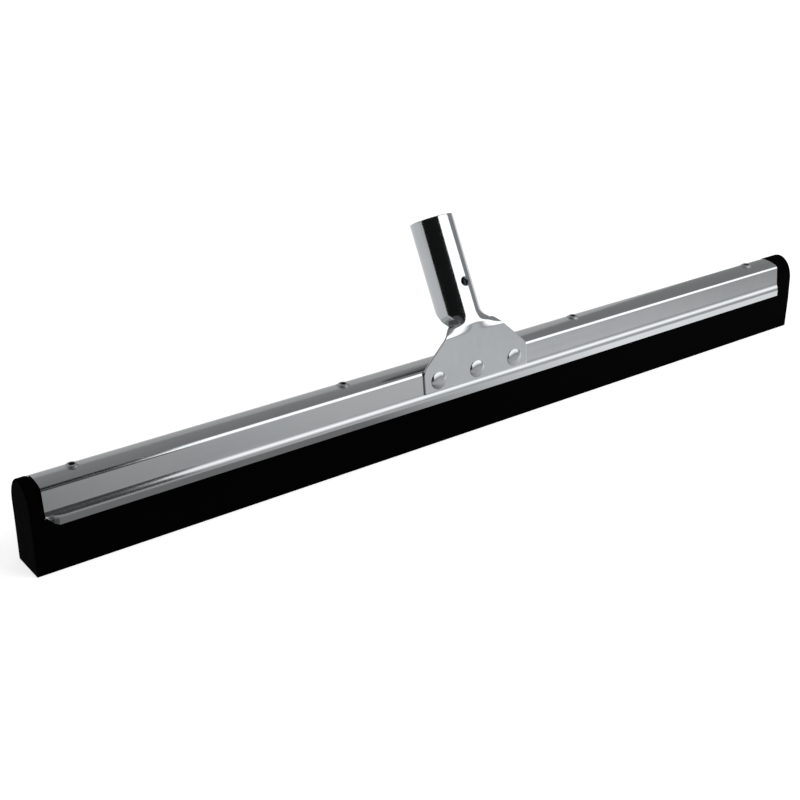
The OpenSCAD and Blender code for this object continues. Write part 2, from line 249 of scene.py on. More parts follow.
def end_material(tree, kind, inputs):
    """Last nodes of a material: its shader and the output."""
    add(tree, "ShaderNodeOutputMaterial", {"Surface": add(tree, kind, inputs)})


def per(mm):
    """Texture scale at which one cell of a pattern is this many millimetres wide."""
    return 1 / (mm * MM)


def worked_metal(name, dark, light, lines_mm, turn, patch_mm, roughness, grain):
    """Metal with fine lines from rolling or drawing, cloudy patches and a few smudges.

    lines_mm is the size of the lines along and across the work, turn the angle of the work about X,
    roughness the least and the most, and grain the depth of the lines as bump strength.
    """
    smudge_mm, line_depth = 0.3 * patch_mm, 0.05 * MM
    material, tree = new_material(name)
    here = add(tree, "ShaderNodeTexCoord").outputs["Object"]
    stretch = add(tree, "ShaderNodeMapping", {
        "Vector": here, "Rotation": (turn, 0, 0), "Scale": [per(mm) for mm in lines_mm]})
    lines = add(tree, "ShaderNodeTexNoise", {"Vector": stretch, "Scale": 1.0, "Detail": 3.0})
    patches = add(tree, "ShaderNodeTexNoise", {
        "Vector": here, "Scale": per(patch_mm), "Detail": 5.0, "Roughness": 0.6})
    smudges = add(tree, "ShaderNodeTexNoise", {
        "Vector": here, "Scale": per(smudge_mm), "Detail": 6.0, "Distortion": 0.6})
    tone = add(tree, "ShaderNodeMix", {"Factor": 0.6, "A": lines, "B": patches}, data_type="FLOAT")
    spread = add(tree, "ShaderNodeMapRange", {"Value": tone, "From Min": 0.35, "From Max": 0.65}, clamp=True)
    base = add(tree, "ShaderNodeMix", {"Factor": spread, "A": (*dark, 1), "B": (*light, 1)}, data_type="RGBA")
    dulled = add(tree, "ShaderNodeMapRange", {
        "Value": smudges, "From Min": 0.35, "From Max": 0.75, "To Min": roughness[0], "To Max": roughness[1]},
        clamp=True)
    bump = add(tree, "ShaderNodeBump", {"Strength": grain, "Distance": line_depth, "Height": lines})
    end_material(tree, "ShaderNodeBsdfPrincipled", {
        "Base Color": base.outputs["Result"], "Roughness": dulled, "Metallic": 1.0, "Normal": bump})
    return material


def closed_cell_foam(dark, light):
    """Moss rubber: closed cells under a thin skin, so that it drinks light and shows only a faint grain."""
    # Real cells of about 0.4 mm would be lost at this distance, so they are drawn 0.9 mm wide
    cell_mm, cell_depth, cloud_mm = 0.9, 0.12 * MM, 14
    material, tree = new_material("closed_cell_moss_rubber")
    here = add(tree, "ShaderNodeTexCoord").outputs["Object"]
    cells = add(tree, "ShaderNodeTexVoronoi", {"Vector": here, "Scale": per(cell_mm)})
    clouds = add(tree, "ShaderNodeTexNoise", {"Vector": here, "Scale": per(cloud_mm), "Detail": 4.0})
    mix = add(tree, "ShaderNodeMix", {"Factor": clouds, "A": (*dark, 1), "B": (*light, 1)}, data_type="RGBA")
    rough = add(tree, "ShaderNodeMapRange", {"Value": clouds, "To Min": 0.8, "To Max": 0.97}, clamp=True)
    bump = add(tree, "ShaderNodeBump", {"Strength": 0.25, "Distance": cell_depth, "Height": cells})
    end_material(tree, "ShaderNodeBsdfPrincipled", {
        "Base Color": mix.outputs["Result"], "Roughness": rough, "IOR": 1.5, "Specular IOR Level": 0.01,
        "Normal": bump})
    return material


def arc(centre, r, start, end, steps):
    """Points (y, z) of an arc, angles in radians from +Y."""
    turns = [start + (end - start) * i / steps for i in range(steps + 1)]
    return [(centre[0] + r * cos(t), centre[1] + r * sin(t)) for t in turns]


def between(a, b, shares):
    """Points on the straight line from a to b."""
    return [(a[0] + (b[0] - a[0]) * t, a[1] + (b[1] - a[1]) * t) for t in shares]


def soft_step(t):
    """Rises smoothly from 0 to 1."""
    t = min(max(t, 0), 1)
    return t * t * (3 - 2 * t)


class ChannelShape:
    """Section of the sheet frame."""
    # Straight pieces of an arc and of the bend above a wall, and where points lie down the wall and down the skirt
    ARC, BEND = 8, 12
    WALL = (0.03, 0.2, 0.4, 0.6, 0.8, 0.97)
    SKIRT = (0.06, 0.3, 0.55, 0.8, 1)

    def __init__(self, s):
        self.s = s
        self.crown_z = s.top - s.crown_r
        self.wall_offset = s.wall_y * cos(s.flare) + (s.foot_z - self.crown_z) * sin(s.flare)
        turn_y = s.wall_y - (s.turn_z - s.foot_z) * tan(s.flare)
        self.hollow_c = (turn_y + s.hollow_r * cos(s.flare), s.turn_z + s.hollow_r * sin(s.flare))
        reach = s.hollow_r + s.round_r
        self.round_c = (
            self.hollow_c[0] - reach * cos(s.step_angle), self.hollow_c[1] - reach * sin(s.step_angle))
        self.skirt_top = self.round_c[1] + s.round_r * sin(s.skirt_flare)

    def half(self, r):
        """Points (y, z) of the outer face from the top of the crown to the skirt's edge, with a bend of radius r."""
        s = self.s
        quarter = pi / 2
        crown = asin((self.wall_offset - r) / (s.crown_r - r)) - s.flare
        bend_c = ((s.crown_r - r) * sin(crown), self.crown_z + (s.crown_r - r) * cos(crown))
        bend = arc(bend_c, r, quarter - crown, s.flare, self.BEND)
        upper = arc(self.hollow_c, s.hollow_r, pi + s.flare, pi + s.step_angle, self.ARC)
        lower = arc(self.round_c, s.round_r, s.step_angle, s.skirt_flare, self.ARC)
        drop = self.skirt_top - s.skirt_z
        edge = (lower[-1][0] + drop * tan(s.skirt_flare), s.skirt_z)
        return (
            arc((0, self.crown_z), s.crown_r, quarter, quarter - crown, self.ARC)
            + bend[1:] + between(bend[-1], upper[0], self.WALL)
            + upper + lower[1:] + between(lower[-1], edge, self.SKIRT)
        )

    def line(self):
        """Points (y, z) of the outer face from the front skirt over the crown to the back skirt."""
        front = [(-y, z) for y, z in self.half(self.s.front_r)]
        return front[::-1] + self.half(self.s.back_r)[1:]


class SocketShape:
    """Sheet of the handle socket: u runs across it and k up its middle line, from the wall's foot to the mouth."""
    # Steps across the sheet in which its curl is added up
    STEP = 0.1 * MM

    def __init__(self, s, wall):
        self.s = s
        self.wall = wall
        self.half_sheet = s.sheet / 2
        self.tube_r = s.bore_d / 2 + s.sheet
        self.curl_r = self.tube_r - self.half_sheet
        self.bend_angle = s.lean - wall.flare
        tangent = s.bend_r * tan(self.bend_angle / 2)
        self.bend_l = s.bend_r * self.bend_angle
        self.bend_from = s.bend_h - tangent
        self.bend_to = self.bend_from + self.bend_l
        self.tube_zero = self.bend_to - tangent
        self.mouth = self.tube_zero + s.reach
        self.full = self.curl_r * pi - s.seam / 2
        self.rows = {}
        self.corner_k = s.side_h - s.corner_r * tan((pi / 2 - s.slope) / 2)

    def lean_at(self, k):
        """Lean of the middle line."""
        share = (k - self.bend_from) / self.bend_l
        return self.wall.flare + self.bend_angle * min(max(share, 0), 1)

    def middle(self, k):
        """Point (y, z) of the middle line."""
        w, s = self.wall, self.s
        y = -w.wall_y - self.half_sheet * cos(w.flare)
        z = w.foot_z + self.half_sheet * sin(w.flare)
        up = min(k, self.bend_from)
        y += up * sin(w.flare)
        z += up * cos(w.flare)
        if k > self.bend_from:
            lean = self.lean_at(k)
            y += s.bend_r * (cos(w.flare) - cos(lean))
            z += s.bend_r * (sin(lean) - sin(w.flare))
        if k > self.bend_to:
            y += (k - self.bend_to) * sin(s.lean)
            z += (k - self.bend_to) * cos(s.lean)
        return y, z

    def half_width(self, k):
        """Half width of the flat sheet: the plate's sides and shoulders, then the tube's wings, then its seam."""
        s = self.s
        side = s.plate_w / 2
        shoulder = side - (k - s.side_h) / tan(s.slope)
        rise = k - self.corner_k
        if rise <= 0:
            shoulder = side
        elif rise < s.corner_r * cos(s.slope):
            shoulder = side - s.corner_r + sqrt(s.corner_r ** 2 - rise ** 2)
        behind = (k - self.tube_zero - s.wing_h) / tan(s.wing_angle) / self.tube_r
        wing = self.curl_r * acos(min(max(-behind, -1), 1))
        joined = (shoulder + wing + sqrt((shoulder - wing) ** 2 + 4 * s.notch ** 2)) / 2
        return min(joined if wing > 0 else shoulder, self.full)

    def row(self, k):
        """Turn of the sheet, and how far it has run sideways and back, at even steps across it from the middle."""
        if k not in self.rows:
            s, step = self.s, self.STEP
            turn = side = back = 0
            marks = [(turn, side, back)]
            for n in range(int(self.full / step) + 2):
                rise = s.curl_l + s.curl_spread * min(n * step, s.curl_reach)
                curl = soft_step((k - s.curl_from) / rise) / self.curl_r
                turn += curl * step
                side += cos(turn - curl * step / 2) * step
                back += sin(turn - curl * step / 2) * step
                marks.append((turn, side, back))
            self.rows[k] = marks
        return self.rows[k]

    def point(self, u, k, depth):
        """Point of the sheet, from the outer face at depth 0 to the inner face at depth 1."""
        off = self.half_sheet - depth * self.s.sheet
        steps = abs(u) / self.STEP
        before, after = self.row(k)[int(steps):int(steps) + 2]
        turn, side, back = (a + (b - a) * (steps % 1) for a, b in zip(before, after))
        back -= off * cos(turn)
        lean = self.lean_at(k)
        y, z = self.middle(k)
        return (copysign(side + off * sin(turn), u), y + back * cos(lean), z - back * sin(lean))


class BladeShape:
    """Foam strip folded once over a slit: j counts the points of its section from the front lip to the back one."""
    # Straight pieces up a lip and round the fold, where the swelling begins inside the frame's end, and its length
    LIP, FOLD = 14, 36
    SWELL_INSIDE, SWELL_L = 0.6 * MM, 2.4 * MM

    def __init__(self, s, f):
        self.s = s
        self.frame = f
        self.columns = 2 * self.LIP + self.FOLD

    def place(self, j):
        """Which side of the fold, how far up the lip as a share of it, and the turn round the fold."""
        up = min(j, self.columns - j)
        return (-1 if 2 * j < self.columns else 1), up / self.LIP, pi / 2 * (up - self.LIP) / (self.FOLD / 2)

    def outer(self, j, x):
        """Point (y, z) of the outer face, which swells where no frame holds it."""
        s, f = self.s, self.frame
        sign, up, turn = self.place(j)
        outside = max(f.left - x, x - f.right)
        free = soft_step((outside + self.SWELL_INSIDE) / self.SWELL_L)
        neck = s.neck_w / 2 + (s.end_front if sign < 0 else s.end_back) * free
        if up <= 1:
            z = f.foot_z * up
            y = s.floor_w / 2 + (neck - s.floor_w / 2) * max(0, z - s.waist_z) / (f.foot_z - s.waist_z)
            return sign * y, z
        return sign * neck * cos(turn), f.foot_z + (s.top + s.end_rise * free - f.foot_z) * sin(turn)

    def inner(self, j):
        """Point (y, z) of the slit."""
        half_gap, top = self.s.lip_gap / 2, self.s.slit_top
        sign, up, turn = self.place(j)
        if up <= 1:
            return sign * half_gap, top * up
        return sign * half_gap * cos(turn), top + half_gap * sin(turn)


def rounded_rim(outer_r, inner_r, thickness, steps):
    """Pairs (inset, depth) round the edge of a sheet, from its outer face to its inner one, with rounded corners."""
    corner = 4
    turns = [pi / 2 * i / corner for i in range(corner + 1)]
    outer, inner = (
        [(r * (1 - sin(t)), r / thickness * (1 - cos(t))) for t in turns] for r in (outer_r, inner_r))
    a, b = outer[-1][1], 1 - inner[-1][1]
    flat = [(0, a + (b - a) * i / steps) for i in range(1, steps)]
    return outer + flat + [(inset, 1 - depth) for inset, depth in reversed(inner)]


def border(i0, j0, i1, j1):
    """Grid points round a block of cells, once round."""
    return (
        [(i0, j) for j in range(j0, j1)] + [(i, j1) for i in range(i0, i1)]
        + [(i1, j) for j in range(j1, j0, -1)] + [(i, j0) for i in range(i1, i0, -1)])


def sheet_solid(name, rows, columns, flat, solid, rim, hole=None):
    """A closed sheet: two faces on a grid of rows and columns, with a rim round it and perhaps a round hole.

    flat(i, j, inset) places a grid line on the sheet's outline drawn in by inset, solid(u, k, depth) turns that
    into a point in space, rim lists (inset, depth), and hole is (u, k, radius, depth of its chamfer as a share of
    the sheet, width of its chamfer).
    """
    # The grid is cleared over this many radii round a hole, and the flat ring round it reaches out this many chamfers
    hole_room, flat_ring = 1.6, 3
    bm = bmesh.new()

    def vert(i, j, inset, depth):
        return bm.verts.new(solid(*flat(i, j, inset), depth))

    def bridge(loops):
        for a, b in zip(loops, loops[1:]):
            for corners in zip(a, b, b[1:] + b[:1], a[1:] + a[:1]):
                bm.faces.new(corners)

    cells = {(i, j) for i in range(rows) for j in range(columns)}
    inset = rim[0][0]
    gone = set()
    if hole:
        u0, k0, radius, chamfer, cut = hole
        near = [
            (i, j) for i, j in cells
            if all(max(abs(u - u0), abs(k - k0)) < hole_room * radius
                   for u, k in (flat(i, j, inset), flat(i + 1, j + 1, inset)))
        ]
        i0, i1 = min(i for i, _ in near), max(i for i, _ in near) + 1
        j0, j1 = min(j for _, j in near), max(j for _, j in near) + 1
        gone = {(i, j) for i in range(i0, i1) for j in range(j0, j1)}
    inside = {(i, j) for i, j in gone if {(i - 1, j), (i, j - 1), (i - 1, j - 1)} <= gone}
    faces = []
    for depth in (rim[0][1], rim[-1][1]):
        points = {
            (i, j): vert(i, j, inset, depth)
            for i in range(rows + 1) for j in range(columns + 1) if (i, j) not in inside
        }
        for i, j in cells - gone:
            bm.faces.new([points[c] for c in ((i, j), (i + 1, j), (i + 1, j + 1), (i, j + 1))])
        faces.append(points)
    outer, inner = faces
    edge = border(0, 0, rows, columns)
    between_faces = [[vert(i, j, *pair) for i, j in edge] for pair in rim[1:-1]]
    loops = [[outer[c] for c in edge], *between_faces, [inner[c] for c in edge]]
    if hole:
        ring = border(i0, j0, i1, j1)
        aims = [Vector(flat(i, j, inset)) - Vector((u0, k0)) for i, j in ring]
        wide = radius + flat_ring * cut
        wall = [(wide, 0), (radius + cut, 0), (radius, chamfer), (radius, 1 - chamfer), (radius + cut, 1), (wide, 1)]
        circles = [[outer[c] for c in ring]]
        for r, depth in wall:
            spots = [Vector((u0, k0)) + r * a.normalized() for a in aims]
            circles.append([bm.verts.new(solid(p.x, p.y, depth)) for p in spots])
        circles.append([inner[c] for c in ring])
        bridge(circles)
    bridge(loops)
    return finished_object(name, bm)


def finished_object(name, bm):
    """Closes the mesh work: outward faces, and an object in the scene."""
    bmesh.ops.recalc_face_normals(bm, faces=bm.faces)
    mesh = bpy.data.meshes.new(name)
    bm.to_mesh(mesh)
    bm.free()
    return placed(name, mesh)


def lathe(name, profile, segments):
    """Turned solid about Z from (radius, height) pairs, which begin and end on the axis or go round a bore."""
    bm = bmesh.new()
    rings = []
    for r, z in profile:
        count = segments if r > 0 else 1
        turns = [2 * pi * i / segments for i in range(count)]
        rings.append([bm.verts.new((r * cos(t), r * sin(t), z)) for t in turns])
    pairs = list(zip(rings, rings[1:]))
    if len(rings[0]) > 1:
        pairs.append((rings[-1], rings[0]))
    for a, b in pairs:
        for i in range(segments):
            k = (i + 1) % segments
            corners = [a[i % len(a)], a[k % len(a)], b[k % len(b)], b[i % len(b)]]
            bm.faces.new(list(dict.fromkeys(corners)))
    return finished_object(name, bm)


def settle(obj):
    """Makes the object's own mesh what its modifiers make of it, and removes them."""
    graph = bpy.context.evaluated_depsgraph_get()
    mesh = bpy.data.meshes.new_from_object(
        obj.evaluated_get(graph), preserve_all_data_layers=True, depsgraph=graph)
    old = obj.data
    obj.modifiers.clear()
    obj.data = mesh
    mesh.name = obj.name
    bpy.data.meshes.remove(old)


def discard(obj):
    """Removes a helper object and its mesh."""
    mesh = obj.data
    bpy.data.objects.remove(obj)
    bpy.data.meshes.remove(mesh)


def node_object(name, tree, values):
    """An empty mesh object with this node tree, its inputs set by their identifiers before it is evaluated."""
    obj = placed(name, bpy.data.meshes.new(name))
    modifier = obj.modifiers.new(tree.name, "NODES")
    modifier.node_group = tree
    for item in tree.interface.items_tree:
        if item.in_out == "INPUT":
            modifier[item.identifier] = values[item.name]
    return obj


def new_tree(name, inputs):
    """A geometry node tree with these named inputs, and its input node."""
    tree = bpy.data.node_groups.new(name, "GeometryNodeTree")
    for label, kind in inputs.items():
        tree.interface.new_socket(name=label, in_out="INPUT", socket_type="NodeSocket" + kind)
    tree.interface.new_socket(name="Geometry", in_out="OUTPUT", socket_type="NodeSocketGeometry")
    return tree, tree.nodes.new("NodeGroupInput").outputs


def end_tree(tree, geometry, material):
    """Last nodes of a tree: real meshes in their material."""
    real = add(tree, "GeometryNodeRealizeInstances", {"Geometry": geometry})
    dressed = add(tree, "GeometryNodeSetMaterial", {"Geometry": real, "Material": material})
    add(tree, "NodeGroupOutput", {"Geometry": dressed})


def rivet_row_tree():
    """Tree that sets one rivet along a line, and along its mirror image where asked."""
    tree, given = new_tree("Rivet row", {
        "Rivet": "Object", "Count": "Int", "Start": "Vector", "Step": "Vector", "Both sides": "Bool",
        "Material": "Material"})
    line = add(tree, "GeometryNodeMeshLine", {
        "Count": given["Count"], "Start Location": given["Start"], "Offset": given["Step"]}, mode="OFFSET")
    other = add(tree, "GeometryNodeTransform", {"Geometry": line, "Scale": (-1, 1, 1)})
    both = add(tree, "GeometryNodeJoinGeometry", {"Geometry": line})
    tree.links.new(other.outputs[0], both.inputs[0])
    places = add(tree, "GeometryNodeSwitch", {
        "Switch": given["Both sides"], "False": line, "True": both}, input_type="GEOMETRY")
    rivet = add(tree, "GeometryNodeObjectInfo", {"Object": given["Rivet"]})
    row = add(tree, "GeometryNodeInstanceOnPoints", {"Points": places, "Instance": rivet.outputs["Geometry"]})
    end_tree(tree, row, given["Material"])
    return tree


def rivet_row(name, rivet, count, start, step, both, material):
    """One mesh of all the rivets of a row, and the rivet that was repeated removed."""
    obj = node_object(name, rivet_row_tree(), {
        "Rivet": rivet, "Count": count, "Start": start, "Step": step, "Both sides": both, "Material": material})
    settle(obj)
    discard(rivet)
    return obj


def ridge_row(name, rivet, s, z, material):
    """The rivet repeated at the four places of the ridge, at this height."""
    return rivet_row(name, rivet, 2, (s.ridge_inner, 0, z), (s.ridge_outer - s.ridge_inner, 0, 0), True, material)


def channel_tree():
    """Tree that rolls a section along the blade, then trims and presses in one corner of the front skirt."""
    tree, given = new_tree("Rolled channel", {
        "Section": "Object", "Left": "Float", "Right": "Float", "Columns": "Int", "Skirt": "Float",
        "Skirt top": "Float", "Flare": "Float", "Trim": "Float", "Press": "Float", "Material": "Material"})

    def calc(operation, *values):
        return add(tree, "ShaderNodeMath", dict(enumerate(values)), operation=operation)

    section = add(tree, "GeometryNodeObjectInfo", {"Object": given["Section"]}).outputs["Geometry"]
    points = add(tree, "GeometryNodeAttributeDomainSize", {"Geometry": section}, component="MESH")
    grid = add(tree, "GeometryNodeMeshGrid", {
        "Size X": 1.0, "Size Y": 1.0, "Vertices X": given["Columns"], "Vertices Y": points})
    place = add(tree, "GeometryNodeInputPosition")
    on_grid = add(tree, "ShaderNodeSeparateXYZ", {0: place})
    share = calc("ADD", on_grid.outputs[1], 0.5)
    index = calc("ROUND", calc("MULTIPLY", share, calc("SUBTRACT", points, 1.0)))
    sample = add(tree, "GeometryNodeSampleIndex", {
        "Geometry": section, "Value": place, "Index": index}, data_type="FLOAT_VECTOR", domain="POINT")
    on_section = add(tree, "ShaderNodeSeparateXYZ", {0: sample})
    y, z = on_section.outputs[1], on_section.outputs[2]
    # Columns crowd together towards both ends, where the corner is cut
    wave = calc("SINE", calc("MULTIPLY", on_grid.outputs[0], pi))
    run = calc("SUBTRACT", given["Right"], given["Left"])
    along = calc("MULTIPLY", run, calc("MULTIPLY_ADD", wave, 0.5, 0.5))
    at_front = calc("LESS_THAN", y, 0.0)
    short = calc("MAXIMUM", 0.0, calc("SUBTRACT", given["Trim"], along))
    missing = calc("MULTIPLY", at_front, short)
    cut_z = calc("MAXIMUM", z, calc("ADD", given["Skirt"], missing))
    # The press fades out over this height above the skirt, and points this close to each other become one
    press_fade, weld = 3 * MM, 0.01 * MM
    bend_top = calc("ADD", given["Skirt top"], press_fade)
    low = add(tree, "ShaderNodeMapRange", {
        "Value": cut_z, "From Min": bend_top, "From Max": given["Skirt top"]}, clamp=True)
    corner = calc("DIVIDE", missing, given["Trim"])
    pushed = calc("MULTIPLY", calc("MULTIPLY", corner, given["Press"]), low)
    raised = calc("MULTIPLY", calc("SUBTRACT", cut_z, z), calc("TANGENT", given["Flare"]))
    spot = add(tree, "ShaderNodeCombineXYZ", {
        0: calc("ADD", given["Left"], along), 1: calc("ADD", y, calc("ADD", pushed, raised)), 2: cut_z})
    rolled = add(tree, "GeometryNodeSetPosition", {"Geometry": grid, "Position": spot})
    clean = add(tree, "GeometryNodeMergeByDistance", {"Geometry": rolled, "Distance": weld})
    end_tree(tree, clean, given["Material"])
    return tree


def finish_piece(obj, sharp_from, slot, *nodes):
    """Smooths a piece, with edges from this many degrees on kept sharp, and ties it to the part."""
    obj.data.shade_smooth()
    obj.data.set_sharp_from_angle(angle=radians(sharp_from))
    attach(obj, BODY)
    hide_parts(*nodes)


class SQUEEGEE_OT_foam_blade(Operator):
    """Foam strip folded once, with its two lips on the floor and its ends swelling out of the frame"""
    bl_idname = "squeegee.foam_blade"
    bl_label = "Foam blade"

    def execute(self, context):
        s, f = context.scene.squeegee.blade, context.scene.squeegee.frame
        shape = BladeShape(s, f)
        # Rows crowd together towards the ends. The first lies past the rounded edge, so that no two rows coincide.
        close, wide, gap, steps = 0.25 * MM, 1 * MM, 9 * MM, 44
        ends = [close * i for i in range(4, 12)] + [wide * i for i in range(3, 19)]
        inner_run = s.right - s.left - 2 * (ends[-1] + gap)
        xs = (
            [s.left] + [s.left + e for e in ends]
            + [s.left + ends[-1] + gap + inner_run * i / steps for i in range(steps + 1)]
            + [s.right - e for e in reversed(ends)] + [s.right]
        )

        def flat(i, j, inset):
            x = min(max(xs[i], s.left + inset), s.right - inset)
            return x, (j, inset)

        def solid(x, spot, depth):
            j, inset = spot
            a, b = shape.outer(j, x), shape.inner(j)
            y, z = (a[n] + (b[n] - a[n]) * depth for n in (0, 1))
            return x, y, max(z, inset)

        slit_edge_r = 0.1 * MM
        rim = rounded_rim(s.edge_r, slit_edge_r, s.floor_w / 2, steps=8)
        obj = sheet_solid("foam_blade_body", len(xs) - 1, shape.columns, flat, solid, rim)
        obj.data.materials.append(closed_cell_foam(s.dark, s.light))
        finish_piece(obj, 50, "black_foam", "foam_blade")
        return {"FINISHED"}


class SQUEEGEE_OT_frame_channel(Operator):
    """Sheet channel that grips the blade, with one trimmed corner and holes for the ridge rivets"""
    bl_idname = "squeegee.frame_channel"
    bl_label = "Frame channel"

    def execute(self, context):
        s, r = context.scene.squeegee.frame, context.scene.squeegee.rivets
        shape = ChannelShape(s)
        outline = bpy.data.meshes.new("section")
        outline.from_pydata([(0, y, z) for y, z in shape.line()], [], [])
        section = placed("section", outline)
        # Hot-dip galvanised sheet, rolled along its length: dull grey with soft streaks that stretch every reflection
        zinc = worked_metal(
            "hot_dip_galvanised_sheet", s.zinc_dark, s.zinc_light, (180, 2.4, 2.4), 0, 40, (0.13, 0.17), 0.002)
        obj = node_object("frame_channel_sheet", channel_tree(), {
            "Section": section, "Left": s.left, "Right": s.right, "Columns": 72, "Skirt": s.skirt_z,
            "Skirt top": shape.skirt_top, "Flare": s.skirt_flare, "Trim": s.trim, "Press": s.press,
            "Material": zinc})
        wall = obj.modifiers.new("Sheet", "SOLIDIFY")
        wall.thickness = s.sheet
        wall.offset = -1
        edge = obj.modifiers.new("Edges", "BEVEL")
        edge.width = s.edge_r
        edge.segments = 2
        edge.limit_method = "ANGLE"
        edge.angle_limit = radians(45)
        clearance, depth, sides = 0.1 * MM, 3 * MM, 32
        hole_r = r.shank_d / 2 + clearance
        punch = lathe("punch", [(0, -depth), (hole_r, -depth), (hole_r, depth), (0, depth)], sides)
        # Turned by half a side, so that no corner of a hole falls on the ridge's own points
        punch.data.transform(Matrix.Rotation(pi / sides, 4, "Z"))
        punches = ridge_row("punches", punch, r, s.top, zinc)
        holes = obj.modifiers.new("Rivet holes", "BOOLEAN")
        holes.object = punches
        holes.solver = "EXACT"
        weld = obj.modifiers.new("Weld", "WELD")
        weld.merge_threshold = 0.002 * MM
        settle(obj)
        discard(section)
        discard(punches)
        finish_piece(obj, 13, "galvanised_sheet", "frame_channel")
        return {"FINISHED"}


class SQUEEGEE_OT_retaining_strip(Operator):
    """Finish of the flat strip inside the fold, which keeps its CAD shape"""
    bl_idname = "squeegee.retaining_strip"
    bl_label = "Retaining strip"

    def execute(self, context):
        s = context.scene.squeegee.rivets
        strip = frame["nodes"]["retaining_strip"]
        # Plain rolled strip: long dull lines and no plating
        rolled = worked_metal(
            "rolled_strip_steel", s.strip_dark, s.strip_light, (120, 1, 1), 0, 25, (0.34, 0.5), 0.15)
        strip.data.materials.clear()
        strip.data.materials.append(rolled)
        return {"FINISHED"}


class SQUEEGEE_OT_ridge_rivets(Operator):
    """Four hollow rivets along the ridge, each with a raised ring"""
    bl_idname = "squeegee.ridge_rivets"
    bl_label = "Ridge rivets"

    def execute(self, context):
        s, f = context.scene.squeegee.rivets, context.scene.squeegee.frame
        bore, shank, tail = s.bore_d / 2, s.shank_d / 2, s.tail_d / 2
        strip = s.strip_z - f.top
        # The ring is flat over this share of its width, so that only the hole shows dark. Then it sinks by this share
        # of its height into the sheet, which falls away from the ridge, and its underside lies at seat.
        flat, sink, seat, steps = 0.3, 1.1, -0.35 * MM, 14
        shares = [1 - i / steps for i in range(steps + 1)]
        ring = [
            (bore + (s.ring_d / 2 - bore) * t, s.ring_h * (1 - soft_step((t - flat) / (1 - flat)) * sink))
            for t in shares]
        # The tail stands upright over this share of its height, and then its edge is broken
        upright, chamfer = 0.7, 0.2 * MM
        profile = [
            (bore, strip - s.tail_h), (tail - chamfer, strip - s.tail_h), (tail, strip - upright * s.tail_h),
            (tail, strip), (shank, strip), (shank, seat), (s.ring_d / 2, seat)] + ring
        rivet = lathe("ridge_rivet_master", profile, segments=40)
        # Zinc-plated tube rivets, dulled by the riveting tool, so that the rings hardly stand out from the sheet
        dull = worked_metal(
            "dull_zinc_plated_rivet", f.zinc_dark, f.zinc_light, (3, 3, 3), 0, 6, (0.34, 0.42), 0.01)
        obj = ridge_row("ridge_rivets", rivet, s, f.top, dull)
        finish_piece(obj, 40, "rivet_steel", "ridge_rivet_far_left", "ridge_rivet_left", "ridge_rivet_right",
                     "ridge_rivet_far_right")
        return {"FINISHED"}


class SQUEEGEE_OT_handle_socket(Operator):
    """Plate and tube rolled from one sheet, with a seam at the back and a screw hole at the front"""
    bl_idname = "squeegee.handle_socket"
    bl_label = "Handle socket"

    def execute(self, context):
        s, f = context.scene.squeegee.socket, context.scene.squeegee.frame
        shape = SocketShape(s, f)
        # Rows crowd together where the plate turns into the tube
        stages = ((s.foot_gap, 30), (25 * MM, 90), (55 * MM, 50), (shape.mouth, 0))
        heights = [
            low + (high - low) * i / count
            for (low, count), (high, _) in zip(stages, stages[1:]) for i in range(count)
        ] + [shape.mouth]
        columns, chamfer_depth, chamfer_w = 88, 0.2, 0.11 * MM

        def flat(i, j, inset):
            k = min(max(heights[i], s.foot_gap + inset), shape.mouth - inset)
            return (2 * j / columns - 1) * (shape.half_width(k) - inset), k

        rim = rounded_rim(s.edge_r, s.edge_r, s.sheet, steps=2)
        hole = (
            s.hole_turn * shape.curl_r, shape.mouth - s.hole_depth, s.hole_d / 2, chamfer_depth, chamfer_w)
        obj = sheet_solid("handle_socket_sheet", len(heights) - 1, columns, flat, shape.point, rim, hole)
        # Bright zinc plating over drawn steel: nearly a mirror, with faint lines up the tube
        bright = worked_metal(
            "bright_zinc_plated_steel", s.zinc_dark, s.zinc_light, (1.6, 1.6, 60), s.lean, 18, (0.1, 0.14), 0.0015)
        obj.data.materials.append(bright)
        finish_piece(obj, 40, "zinc_plated_socket", "handle_socket")
        return {"FINISHED"}


class SQUEEGEE_OT_socket_rivets(Operator):
    """Three domed rivets that hold the plate to the front wall"""
    bl_idname = "squeegee.socket_rivets"
    bl_label = "Socket rivets"

    def execute(self, context):
        s, f, p = (getattr(context.scene.squeegee, n) for n in ("rivets", "frame", "socket"))
        head, pin, tail = s.head_d / 2, s.pin_d / 2, s.pin_tail_d / 2
        # A rather flat dome over an upright edge, sunk a little into the plate so that no gap shows
        edge, sunk, steps = 0.3 * MM, 0.05 * MM, 20
        shares = [i / steps for i in range(steps)]
        dome = [(head * t, p.sheet + edge + (s.head_h - edge) * (1 - t ** 3)) for t in shares]
        back = -f.sheet - s.pin_tail_h
        profile = dome + [
            (head, p.sheet + edge), (head, p.sheet - sunk), (pin, p.sheet - sunk), (pin, -f.sheet),
            (tail, -f.sheet), (tail, back + edge), (tail - edge, back), (0, back)]
        rivet = lathe("socket_rivet_master", profile, segments=40)
        rivet.data.transform(Matrix.Rotation(pi / 2 - f.flare, 4, "X"))
        up_y, up_z = s.height * sin(f.flare), s.height * cos(f.flare)
        start = (-s.pitch, up_y - f.wall_y, f.foot_z + up_z)
        # Zinc-plated domes, bright from the die and a little scuffed, so that each one mirrors the room. Their
        # colours are painted darker than the plate's plating, as painted shade that tones down the bright reflections
        # the domes catch
        domed = worked_metal(
            "bright_zinc_plated_rivet", s.steel_dark, s.steel_light, (3, 3, 3), 0, 6, (0.12, 0.16), 0.004)
        obj = rivet_row("socket_rivets", rivet, 3, start, (s.pitch, 0, 0), False, domed)
        finish_piece(obj, 40, "rivet_steel", "socket_rivet_left", "socket_rivet_centre", "socket_rivet_right")
        return {"FINISHED"}


